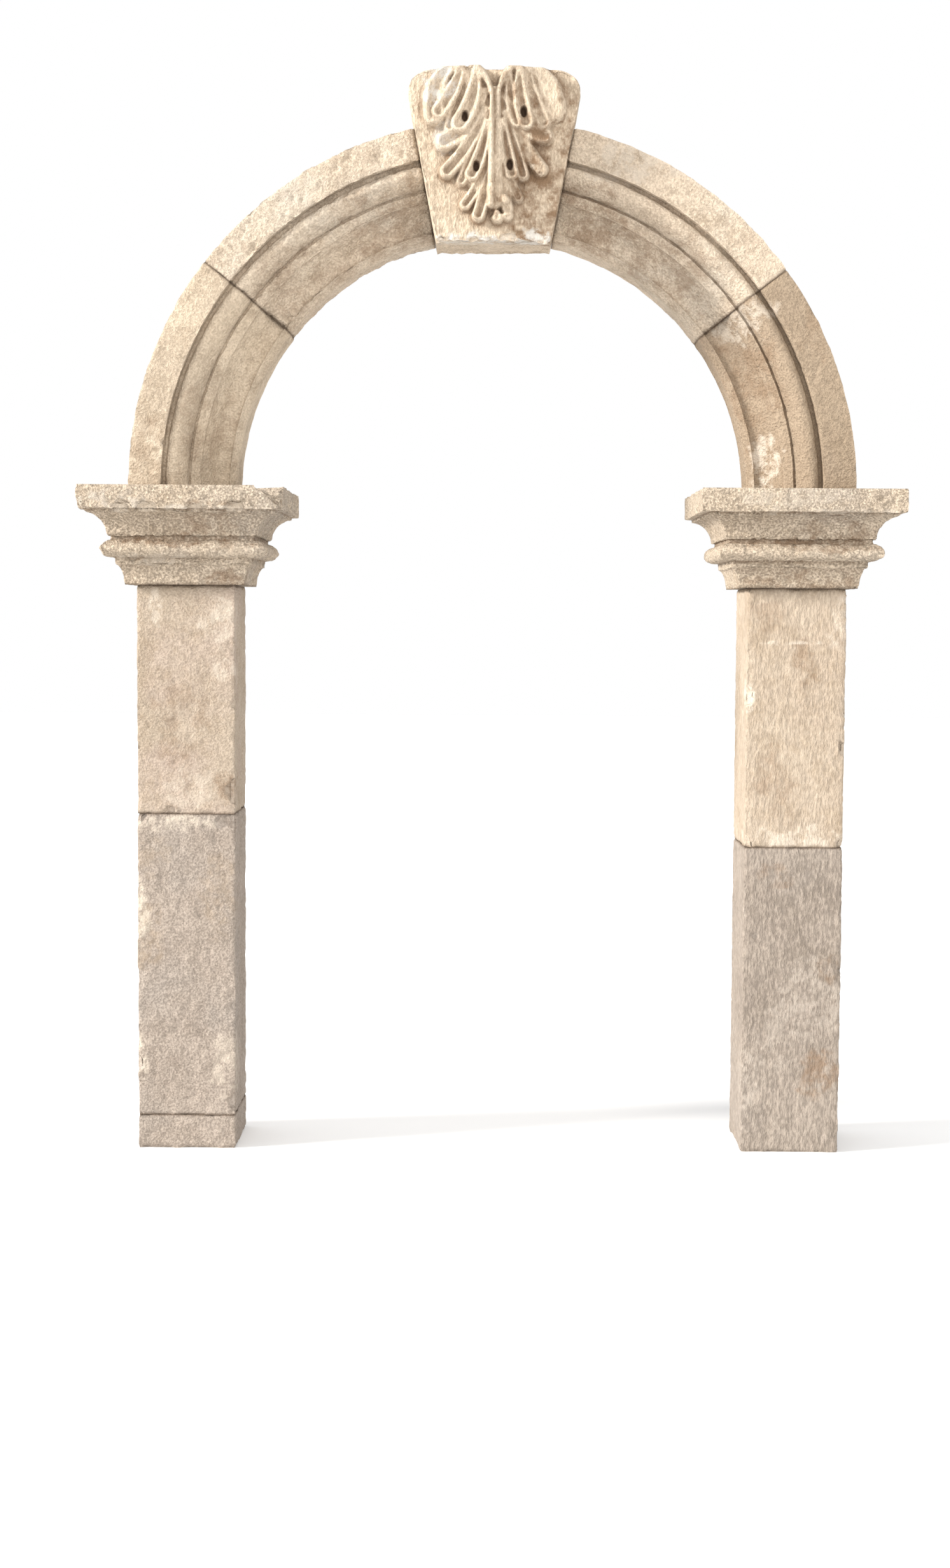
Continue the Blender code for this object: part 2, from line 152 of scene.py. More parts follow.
def run_places(length, spacing, rounding):
    """Places along a run, closer together at both ends where the arris is rounded."""
    ends = np.array([0.0, 0.25, 0.6, 1.0]) * rounding
    inner = np.linspace(rounding * 1.6, length - rounding * 1.6,
                        max(2, int(round(length / spacing))))
    return np.concatenate([ends, inner, length - ends[::-1]])


def grid_normals(grid):
    """Outward unit normals of a grid whose rings run so that ring x row points outwards."""
    around = np.roll(grid, -1, axis=1) - np.roll(grid, 1, axis=1)
    along = np.gradient(grid, axis=0)
    normals = np.cross(around, along)
    length = np.linalg.norm(normals, axis=2, keepdims=True)
    normals = normals / np.maximum(length, 1e-12)
    centre = grid.mean(axis=1, keepdims=True)
    outward = np.sum((grid - centre) * normals)
    return normals if outward > 0 else -normals


def blurred(grid, passes):
    """The grid's points averaged with their neighbours, ends held."""
    soft = grid.copy()
    for _ in range(passes):
        sides = (np.roll(soft, 1, axis=1) + np.roll(soft, -1, axis=1)) / 2
        padded = np.concatenate([soft[:1], soft, soft[-1:]])
        rows = (padded[:-2] + padded[2:]) / 2
        soft = soft * 0.4 + sides * 0.3 + rows * 0.3
    return soft


def end_gap(grid):
    """Distance of each point from the nearer end of its stone, along the rows."""
    steps = np.linalg.norm(np.diff(grid, axis=0), axis=2)
    run = np.concatenate([np.zeros((1, grid.shape[1])), np.cumsum(steps, axis=0)])
    return np.minimum(run, run[-1:] - run)


Chip = namedtuple("Chip", "x y z radius depth")     # a ball of this radius scoops so deep


def cut_chips(grid, normals, chips, seed):
    """Scoops each chip out of the stone along its normals; returns how freshly broken it is."""
    fresh = np.zeros(grid.shape[:2])
    for number, chip in enumerate(chips):
        centre = np.array([chip.x, chip.y, chip.z])
        near = np.linalg.norm(grid - centre, axis=2) < chip.radius * 1.4
        if not near.any():
            continue
        points = grid[near]
        rough = 1 + 0.32 * noise(points, chip.radius * 0.8, seed + number)
        rough += 0.16 * noise(points, chip.radius * 0.3, seed + number + 50)
        arm = points - centre
        along = np.sum(arm * normals[near], axis=1)
        left = along ** 2 + (chip.radius * rough) ** 2 - np.sum(arm ** 2, axis=1)
        push = np.where(left > 0, along + np.sqrt(np.maximum(left, 0.0)), 0.0)
        push = np.clip(push, 0.0, chip.depth)
        grid[near] = points - normals[near] * push[:, None]
        fresh[near] = np.maximum(fresh[near], np.clip(push / 0.004, 0, 1))
    return fresh


def edge_chips(grid, normals, count, size, seed, guard):
    """Seeded chips along the sharpest edges of a stone."""
    sharp = np.sum((grid - blurred(grid, 3)) * normals, axis=2) * guard
    rows, columns = np.where(sharp > np.quantile(sharp, 0.965))
    if len(rows) == 0:
        return []
    draw = np.random.default_rng(seed)
    chips = []
    for pick in draw.integers(0, len(rows), count):
        radius = size * draw.uniform(0.5, 1.6)
        outwards = normals[rows[pick], columns[pick]]
        place = grid[rows[pick], columns[pick]] + outwards * radius * 0.62
        chips.append(Chip(*place, radius, radius * 0.5))
    return chips


Finish = namedtuple("Finish", "pits pit_size tooling tool_size lumps wear")


def weather(grid, finish, chips, chip_count, chip_size, seed, guard=1.0, normals=None):
    """Wears a stone's grid inwards; returns it with its hollow, edge, fresh and seam values."""
    if normals is None:
        normals = grid_normals(grid)
    low, high = grid[..., 2].min(), grid[..., 2].max()
    height = np.sum((grid - blurred(grid, 6)) * normals, axis=2)
    edge = np.clip(height / EDGE_HEIGHT, 0, 1)
    hollow = np.clip(-height / EDGE_HEIGHT, 0, 1)
    chips = list(chips) + edge_chips(grid, normals, chip_count, chip_size, seed, guard)
    lumps = (noise(grid, 0.11, seed) * 0.5 + noise(grid, 0.04, seed + 1) * 0.5) * 0.5 + 0.5
    pits = np.clip(noise(grid, finish.pit_size, seed + 2)
                   + 0.5 * noise(grid, finish.pit_size * 2.6, seed + 3) - 0.1, 0, 1)
    tooling = np.clip(noise(grid, finish.tool_size, seed + 4), -0.4, 1) * 0.5 + 0.2
    bite = np.clip(noise(grid, 0.034, seed + 5) * 0.9 + noise(grid, 0.013, seed + 6) * 0.5 + 0.4,
                   0, 1.5)
    gap = end_gap(grid)
    inward = lumps * finish.lumps + pits * finish.pits + tooling * finish.tooling
    inward += edge * finish.wear * bite
    inward += np.exp(-(gap / ARRIS) ** 2) * (0.0016 + 0.7 * finish.wear * bite)
    grid -= normals * (np.maximum(inward, 0.0) * guard)[..., None]
    fresh = cut_chips(grid, normals, chips, seed + 7)
    grid[..., 2] = np.clip(grid[..., 2], low, high)
    seam = np.exp(-(gap / SEAM) ** 2)
    return grid, {"hollow": hollow, "edge": edge, "fresh": fresh, "seam": seam}


def break_corner(grid, corner, direction, depth, lowest, seed):
    """Breaks a corner above a height back to a rough slanting face that looks along direction."""
    direction = np.array(direction) / np.linalg.norm(direction)
    rough = 0.006 * noise(grid, 0.026, seed) + 0.004 * noise(grid, 0.010, seed + 1)
    past = (grid - np.array(corner)) @ direction + depth + rough
    past[grid[..., 2] < lowest] = 0.0
    return grid - direction * np.maximum(past, 0.0)[..., None]


def close_ends(grid, marks, depth, rings, seed):
    """Adds rings that close both ends of a stone with a rough, slightly hollow face."""
    clean = {label: np.zeros((rings, grid.shape[1])) for label in marks}
    faces = []
    for ring, inwards in ((grid[0], 1.0), (grid[-1], -1.0)):
        centre = ring.mean(axis=0)
        shares = np.linspace(0.03, 0.97, rings)[:, None, None]
        face = ring + (centre - ring) * shares
        rough = 0.5 * noise(face, 0.035, seed) + 0.5 * noise(face, 0.016, seed + 1)
        face[..., 2] += inwards * depth * (0.5 + 0.5 * rough)
        faces.append(face)
    grid = np.concatenate([faces[0][::-1], grid, faces[1]])
    marks = {label: np.concatenate([clean[label], values, clean[label]])
             for label, values in marks.items()}
    return grid, marks


def solid_from_grid(name, grid, marks, material):
    """One closed mesh from the grid, capped at both ends, with its marks for the material."""
    rows, ring = grid.shape[:2]
    index = np.arange(rows * ring).reshape(rows, ring)
    here = index[:-1]
    above = index[1:]
    quads = np.stack([here, np.roll(here, -1, axis=1), np.roll(above, -1, axis=1), above], axis=2)
    faces = quads.reshape(-1, 4).tolist()
    faces.append(index[0][::-1].tolist())
    faces.append(index[-1].tolist())
    mesh = bpy.data.meshes.new(name)
    mesh.from_pydata(grid.reshape(-1, 3).tolist(), [], faces)
    for label, values in marks.items():
        layer = mesh.attributes.new(label, "FLOAT", "POINT")
        layer.data.foreach_set("value", values.reshape(-1).astype(np.float32))
    body = bmesh.new()
    body.from_mesh(mesh)
    bmesh.ops.recalc_face_normals(body, faces=body.faces)
    bmesh.ops.triangulate(body, faces=[face for face in body.faces if len(face.verts) > 4])
    body.to_mesh(mesh)
    body.free()
    mesh.shade_smooth()
    mesh.set_sharp_from_angle(angle=math.radians(50))
    stone = bpy.data.objects.new(name, mesh)
    bpy.context.scene.collection.objects.link(stone)
    mesh.materials.append(material)
    return stone


def place_stone(node, grid, marks, material):
    stone = solid_from_grid(node + "_stone", grid, marks, material)
    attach(stone, "root")
    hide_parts(node)
    return stone


# Outlines

def subdivide(outline, spacings):
    """Closed outline with points about as far apart as each side's spacing, corners kept."""
    points = []
    for number, (start, end) in enumerate(zip(outline, outline[1:] + outline[:1])):
        length = math.dist(start, end)
        pieces = max(1, int(round(length / spacings[number])))
        for step in range(pieces):
            share = step / pieces
            points.append((start[0] + (end[0] - start[0]) * share,
                           start[1] + (end[1] - start[1]) * share))
    return np.array(points)


CORNERS = ((1, -1, 0.0), (-1, -1, -math.pi / 2), (-1, 1, math.pi), (1, 1, math.pi / 2))


def rectangle_ring(half_x, half_y, radius, count_x, count_y):
    """A rectangle with rounded corners, the same number of points for every size."""
    def around(corner, turn):
        sign_x, sign_y, start = CORNERS[corner]
        centre = np.array([sign_x * (half_x - radius), sign_y * (half_y - radius)])
        return centre + radius * np.array([math.cos(start - turn), math.sin(start - turn)])

    points = []
    for corner in range(4):
        arc = [around(corner, turn) for turn in np.linspace(0.0, math.pi / 2, 4)]
        points.extend(arc)
        goal = around((corner + 1) % 4, 0.0)
        count = (count_x, count_y)[corner % 2]
        for share in np.linspace(0.0, 1.0, count + 2)[1:-1]:
            points.append(arc[-1] + (goal - arc[-1]) * share)
    return np.array(points)


def quarter_curve(start, end, steps):
    """Points of a hollow quarter ellipse from start to end, without the start."""
    points = []
    for turn in np.linspace(0.0, math.pi / 2, steps + 1)[1:]:
        points.append((start[0] + (end[0] - start[0]) * math.sin(turn),
                       start[1] + (end[1] - start[1]) * (1 - math.cos(turn))))
    return points


def capital_profile():
    """(projection from the pier, drop below the top) pairs from the top edge to the underside."""
    drop = FASCIA_HEIGHT
    profile = [(FASCIA_PROJECTION, 0.0), (FASCIA_PROJECTION, drop), (BED_PROJECTION, drop)]
    drop += BED_HEIGHT
    profile.append((BED_PROJECTION, drop))
    profile += quarter_curve((BED_PROJECTION, drop), (COVE_PROJECTION, drop + COVE_HEIGHT), 12)
    drop += COVE_HEIGHT
    profile.append((COVE_PROJECTION - QUIRK_DEPTH, drop))
    drop += QUIRK_HEIGHT
    bulge = TORUS_PROJECTION - FILLET_PROJECTION - QUIRK_DEPTH
    for turn in np.linspace(0.0, math.pi, 17):
        out = FILLET_PROJECTION + QUIRK_DEPTH + bulge * math.sin(turn)
        profile.append((out, drop + TORUS_HEIGHT * (1 - math.cos(turn)) / 2))
    drop += TORUS_HEIGHT
    profile.append((FILLET_PROJECTION, drop))
    drop += FILLET_HEIGHT
    profile.append((FILLET_PROJECTION, drop))
    profile += quarter_curve((FILLET_PROJECTION, drop), (NECK_PROJECTION, drop + NECK_HEIGHT), 10)
    return profile


def archivolt_outline():
    """(radius, y) outline of a voussoir and the spacing wanted on each of its sides."""
    lip = INNER_RADIUS + LIP_WIDTH
    covetto = lip + COVETTO_WIDTH
    slope = covetto + SLOPE_WIDTH
    roll_inner = slope + ROLL_FOOT
    roll_outer = roll_inner + ROLL_WIDTH
    groove = roll_outer + GROOVE_WIDTH
    roll_edge = SLOPE_OUTER_RECESS + FILLET_STEP
    cove_start = SLOPE_RECESS + FILLET_STEP
    front = [(OUTER_RADIUS, 0.0), (groove, 0.0), (groove, GROOVE_RECESS)]
    for share in np.linspace(0.0, 1.0, 19):
        crown = math.sin(math.pi * share ** ROLL_LEAN) ** ROLL_FULLNESS
        edge = GROOVE_RECESS + (roll_edge - GROOVE_RECESS) * share
        front.append((roll_outer - ROLL_WIDTH * share, edge + (ROLL_RECESS - edge) * crown))
    front += [(slope, roll_edge), (slope, SLOPE_OUTER_RECESS), (covetto, SLOPE_RECESS)]
    for share in np.linspace(0.0, 1.0, 17):
        chord = cove_start + (COVETTO_RECESS - cove_start) * share
        recess = chord + COVETTO_SAG * math.sin(math.pi * share)
        front.append((covetto - COVETTO_WIDTH * share, recess))
    front += [(lip, COVETTO_RECESS - LIP_STEP), (INNER_RADIUS, LIP_RECESS)]
    outline = [(radius, FRONT_Y + recess) for radius, recess in front]
    spacings = [FINE] * len(outline)
    outline += [(INNER_RADIUS, BACK_Y), (OUTER_RADIUS, BACK_Y)]
    spacings[-1] = MIDDLE
    spacings += [COARSE, MIDDLE]
    return outline, spacings


# Stones

def block_grid(side, low_z, high_z):
    ring = rectangle_ring(PIER_WIDTH / 2, PIER_DEPTH / 2, ARRIS,
                          int(PIER_WIDTH / MIDDLE), int(PIER_DEPTH / MIDDLE))
    heights = low_z + run_places(high_z - low_z, MIDDLE, ARRIS)
    grid = np.zeros((len(heights), len(ring), 3))
    grid[..., 0] = side * PIER_X + ring[None, :, 0]
    grid[..., 1] = ring[None, :, 1]
    grid[..., 2] = heights[:, None]
    return grid


def capital_grid(side):
    profile = capital_profile()
    points = [profile[0]]
    for start, end in zip(profile, profile[1:]):
        pieces = max(1, int(round(math.dist(start, end) / FINE)))
        for step in range(1, pieces + 1):
            share = step / pieces
            points.append((start[0] + (end[0] - start[0]) * share,
                           start[1] + (end[1] - start[1]) * share))
    count = int((PIER_WIDTH + 2 * FASCIA_PROJECTION) / MIDDLE)
    rings = []
    for projection, drop in points[::-1]:
        ring = rectangle_ring(PIER_WIDTH / 2 + projection, PIER_DEPTH / 2 + projection,
                              0.003, count, count)
        z = max(SPRING_Z - drop, PIER_HEIGHT + JOINT_GAP)
        rings.append(np.column_stack([ring + (side * PIER_X, 0.0), np.full(len(ring), z)]))
    return np.array(rings)


def voussoir_grid(side, low_angle, joint_angle):
    """Rows of the archivolt's section, fanned to a radial joint or to the keystone's flank."""
    outline, spacings = archivolt_outline()
    section = subdivide(outline, spacings)
    radius = section[:, 0]
    low = math.radians(low_angle) + JOINT_GAP / INNER_RADIUS
    if joint_angle is None:
        reach = (KEY_FOOT_HALF_WIDTH + JOINT_GAP / math.cos(KEY_TAPER)
                 + (SPRING_Z - KEY_FOOT_Z) * math.tan(KEY_TAPER))
        high = np.arccos(reach * math.cos(KEY_TAPER) / radius) - KEY_TAPER
    else:
        high = np.full(len(section), math.radians(joint_angle))
    length = float(np.mean(high - low)) * (INNER_RADIUS + OUTER_RADIUS) / 2
    places = run_places(length, MIDDLE, ARRIS) / length
    turn = low + (high - low)[None, :] * places[:, None]
    grid = np.zeros((len(places), len(section), 3))
    grid[..., 0] = side * radius * np.cos(turn)
    grid[..., 1] = section[:, 1]
    grid[..., 2] = SPRING_Z + radius * np.sin(turn)
    return grid


# Leaf of the keystone. A lobe runs from its root over a bend to its tip, in shares of the
# keystone's height from its centre line and its foot; crest and hollow are shares of the relief.

Lobe = namedtuple("Lobe", "root bend tip half_width crest hollow eye")

LEFT_LOBES = [
    Lobe((-0.240, 1.000), (-0.365, 0.940), (-0.345, 0.735), 0.070, 0.74, 0.20, None),
    Lobe((-0.190, 1.010), (-0.215, 0.880), (-0.318, 0.745), 0.052, 0.86, 0.30, None),
    Lobe((-0.160, 0.965), (-0.190, 0.830), (-0.258, 0.665), 0.040, 0.70, 0.34, None),
    Lobe((-0.105, 0.975), (-0.110, 0.800), (-0.196, 0.680), 0.064, 0.90, 0.36, 0.84),
    Lobe((-0.060, 0.860), (-0.140, 0.620), (-0.285, 0.580), 0.060, 0.68, 0.30, None),
    Lobe((-0.050, 0.760), (-0.130, 0.545), (-0.270, 0.410), 0.048, 0.72, 0.34, None),
    Lobe((-0.045, 0.690), (-0.110, 0.510), (-0.188, 0.355), 0.036, 0.64, 0.30, None),
    Lobe((-0.040, 0.680), (-0.065, 0.500), (-0.126, 0.390), 0.048, 0.86, 0.38, 0.80),
    Lobe((-0.034, 0.460), (-0.085, 0.320), (-0.165, 0.222), 0.036, 0.60, 0.32, None),
    Lobe((-0.024, 0.430), (-0.050, 0.280), (-0.088, 0.160), 0.042, 0.66, 0.34, None),
]
RIGHT_LOBES = [
    Lobe((0.225, 1.000), (0.330, 0.930), (0.345, 0.760), 0.076, 0.56, 0.02, None),
    Lobe((0.190, 0.990), (0.205, 0.850), (0.285, 0.690), 0.050, 0.72, 0.24, None),
    Lobe((0.145, 0.985), (0.140, 0.830), (0.186, 0.690), 0.056, 0.90, 0.34, 0.80),
    Lobe((0.085, 0.960), (0.080, 0.800), (0.135, 0.690), 0.044, 0.82, 0.34, None),
    Lobe((0.064, 0.830), (0.160, 0.620), (0.295, 0.612), 0.052, 0.62, 0.16, None),
    Lobe((0.064, 0.760), (0.170, 0.550), (0.272, 0.425), 0.048, 0.54, 0.04, None),
    Lobe((0.060, 0.740), (0.115, 0.560), (0.168, 0.390), 0.040, 0.72, 0.32, None),
    Lobe((0.052, 0.690), (0.070, 0.520), (0.104, 0.395), 0.046, 0.84, 0.36, 0.80),
    Lobe((0.050, 0.460), (0.095, 0.340), (0.142, 0.262), 0.034, 0.58, 0.24, None),
    Lobe((0.040, 0.420), (0.058, 0.300), (0.080, 0.195), 0.036, 0.62, 0.08, None),
]
STEMS = [
    Lobe((-0.018, 0.850), (-0.014, 0.550), (-0.018, 0.215), 0.020, 1.00, 0.00, None),
    Lobe((0.022, 0.850), (0.020, 0.550), (0.030, 0.235), 0.028, 0.84, 0.00, None),
    Lobe((-0.018, 0.850), (-0.030, 0.950), (-0.135, 1.015), 0.026, 1.00, 0.00, None),
    Lobe((0.022, 0.850), (0.034, 0.945), (0.110, 1.010), 0.026, 0.92, 0.00, None),
    Lobe((0.018, 0.170), (0.020, 0.160), (0.022, 0.150), 0.040, 0.62, 0.12, None),
    Lobe((0.078, 0.178), (0.080, 0.170), (0.080, 0.160), 0.036, 0.60, 0.00, None),
    Lobe((0.062, 0.262), (0.066, 0.252), (0.068, 0.240), 0.030, 0.92, 0.00, None),
    Lobe((0.000, 0.870), (0.002, 0.550), (0.004, 0.240), 0.052, 0.70, 0.00, None),
    Lobe((-0.120, 0.985), (-0.100, 0.700), (-0.050, 0.380), 0.120, 0.48, 0.00, None),
    Lobe((0.115, 0.985), (0.095, 0.700), (0.050, 0.400), 0.110, 0.46, 0.00, None),
]
SPINE_STEPS = 20
ROOT_WIDTH = 0.55
RIM_PLACE = 0.62
GROOVE_SHADE = 0.007        # depth of a groove that takes the full stain and painted shade
GROOVE_REACH = 40           # passes that soften the relief when grooves are found
FOOT_BREAK = 0.017          # most that the keystone's foot is broken upwards
EYE_HALF_WIDTH = 0.020
EYE_HALF_HEIGHT = 0.034


def spine_point(lobe, t):
    root, bend, tip = (np.array(point) for point in (lobe.root, lobe.bend, lobe.tip))
    return root * (1 - t) ** 2 + bend * 2 * t * (1 - t) + tip * t ** 2


def spine_distance(across, up, lobe):
    """Distance of each point from the lobe's spine, and the nearest place along it, 0 to 1."""
    nearest = np.full(across.shape, np.inf)
    place = np.zeros(across.shape)
    places = np.linspace(0.0, 1.0, SPINE_STEPS + 1)
    spine = [spine_point(lobe, t) for t in places]
    for start, end, begin in zip(spine, spine[1:], places):
        run = end - start
        share = ((across - start[0]) * run[0] + (up - start[1]) * run[1]) / max(run @ run, 1e-12)
        share = np.clip(share, 0.0, 1.0)
        distance = np.hypot(across - start[0] - run[0] * share, up - start[1] - run[1] * share)
        closer = distance < nearest
        nearest = np.where(closer, distance, nearest)
        place = np.where(closer, begin + share / SPINE_STEPS, place)
    return nearest, place


def lobe_relief(across, up, lobe):
    """A cupped lobe with a raised rim round its tip, as a share of the relief."""
    distance, place = spine_distance(across, up, lobe)
    width = lobe.half_width * (ROOT_WIDTH + (1 - ROOT_WIDTH) * smooth_step(0.0, 0.7, place))
    share = distance / width
    fall = np.clip((share - RIM_PLACE) / (1 - RIM_PLACE), 0.0, 1.0)
    wall = np.sqrt(1 - fall ** 2)
    cup = lobe.hollow * np.clip(1 - (share / RIM_PLACE) ** 2, 0.0, 1.0) ** 1.5
    return wall * (lobe.crest - cup * smooth_step(0.0, 0.3, place))


def leaf_relief(across, up):
    """Height of the carving in metres, and how far each point is inside a drilled eye."""
    height = np.zeros(across.shape)
    for lobe in LEFT_LOBES + RIGHT_LOBES + STEMS:
        height = np.maximum(height, lobe_relief(across, up, lobe))
    height = height * RELIEF
    eyes = np.zeros(across.shape)
    for lobe in LEFT_LOBES + RIGHT_LOBES:
        if lobe.eye is None:
            continue
        centre = spine_point(lobe, lobe.eye)
        reach = np.hypot((across - centre[0]) / EYE_HALF_WIDTH, (up - centre[1]) / EYE_HALF_HEIGHT)
        hole = 1 - smooth_step(0.75, 1.0, reach)
        floor = np.minimum(height, RELIEF - EYE_DEPTH)
        height = height + (floor - height) * hole
        eyes = np.maximum(eyes, hole)
    return height, eyes


def softened(field, passes):
    """The field averaged with its neighbours, without wrapping round."""
    for _ in range(passes):
        padded = np.pad(field, 1, mode="edge")
        field = (padded[:-2, 1:-1] + padded[2:, 1:-1] + padded[1:-1, :-2] + padded[1:-1, 2:]
                 + 2 * field) / 6
    return field


def key_half_width(up):
    straight = KEY_FOOT_HALF_WIDTH + up * math.tan(KEY_TAPER)
    climb = np.clip((up - (KEY_HEIGHT - SHOULDER_HEIGHT)) / SHOULDER_HEIGHT, 0.0, 1.0)
    return straight - SHOULDER_WIDTH * (1 - np.sqrt(1 - climb ** 2))


def keystone_grid():
    """Rows from the foot up, each ring across the carved front and round the back.

    Returns the grid, the uncarved stone's normals, how much wear each point takes, how far it is
    inside a drilled eye and how deep it lies in a groove.
    """
    rows = int(KEY_HEIGHT / CARVED)
    climb = np.concatenate([[0.0, 0.002, 0.004, 0.007], np.linspace(0.012, 1.0, rows)])
    up = KEY_HEIGHT * climb
    up = np.concatenate([up[:-1], KEY_HEIGHT - np.array([0.0008, 0.0003, 0.0])])
    climb = up / KEY_HEIGHT
    columns = int(2 * KEY_FOOT_HALF_WIDTH / CARVED * 1.3)
    sweep = np.linspace(-1.0, 1.0, columns)
    depth_steps = int((BACK_Y - KEY_FRONT_Y) / MIDDLE)
    depths = np.linspace(KEY_FRONT_Y, BACK_Y, depth_steps)[1:]
    back = np.linspace(1.0, -1.0, 24)[1:]
    ring_u = np.concatenate([sweep, np.ones(len(depths)), back, -np.ones(len(depths) - 1)])
    ring_y = np.concatenate([np.full(columns, KEY_FRONT_Y), depths, np.full(len(back), BACK_Y),
                             depths[::-1][1:]])
    half = key_half_width(up)
    grid = np.zeros((len(up), len(ring_u), 3))
    grid[..., 1] = ring_y[None, :]
    grid[..., 2] = KEY_FOOT_Z + up[:, None]
    rearward = np.clip((grid[..., 1] - KEY_FRONT_Y) / (BACK_Y - KEY_FRONT_Y), 0.0, 1.0)
    grid[..., 2] += KEY_UNDERCUT * rearward * (1 - climb[:, None])
    lifted = np.minimum(grid[..., 2] - KEY_FOOT_Z, KEY_HEIGHT)
    grid[..., 0] = key_half_width(lifted) * ring_u[None, :]
    normals = grid_normals(grid)
    across = grid[:, :columns, 0] / KEY_HEIGHT
    relief, eyes = leaf_relief(across, np.broadcast_to(up[:, None], across.shape) / KEY_HEIGHT)
    relief = softened(relief, 3)
    flat_edge = smooth_step(0.0, 0.012, (1 - np.abs(sweep))[None, :] * half[:, None])
    grid[:, :columns, 1] -= relief * flat_edge
    guard = np.ones(grid.shape[:2])
    guard[:, :columns] = 1.0 - 0.7 * smooth_step(0.1, 0.4, relief / RELIEF)
    guard[:, columns:][grid[:, columns:, 1] > FRONT_Y + 0.004] = 0.0
    ragged = 0.5 + 0.35 * noise(grid, 0.034, 45) + 0.25 * noise(grid, 0.010, 46)
    ragged = ragged * np.clip(1 - rearward, 0.6, 1.0)
    grid[..., 2] += FOOT_BREAK * np.clip(ragged, 0.0, 1.0) * np.exp(-(up[:, None] / 0.022) ** 2)
    drilled = np.zeros(grid.shape[:2])
    drilled[:, :columns] = eyes
    # How deep each point lies in a groove; the material tints it with stain and painted shade.
    groove_stain_and_shade = np.zeros(grid.shape[:2])
    groove_stain_and_shade[:, :columns] = np.clip((softened(relief, GROOVE_REACH) - relief) / GROOVE_SHADE, 0, 1)
    return grid, normals, guard, drilled, groove_stain_and_shade


# Materials

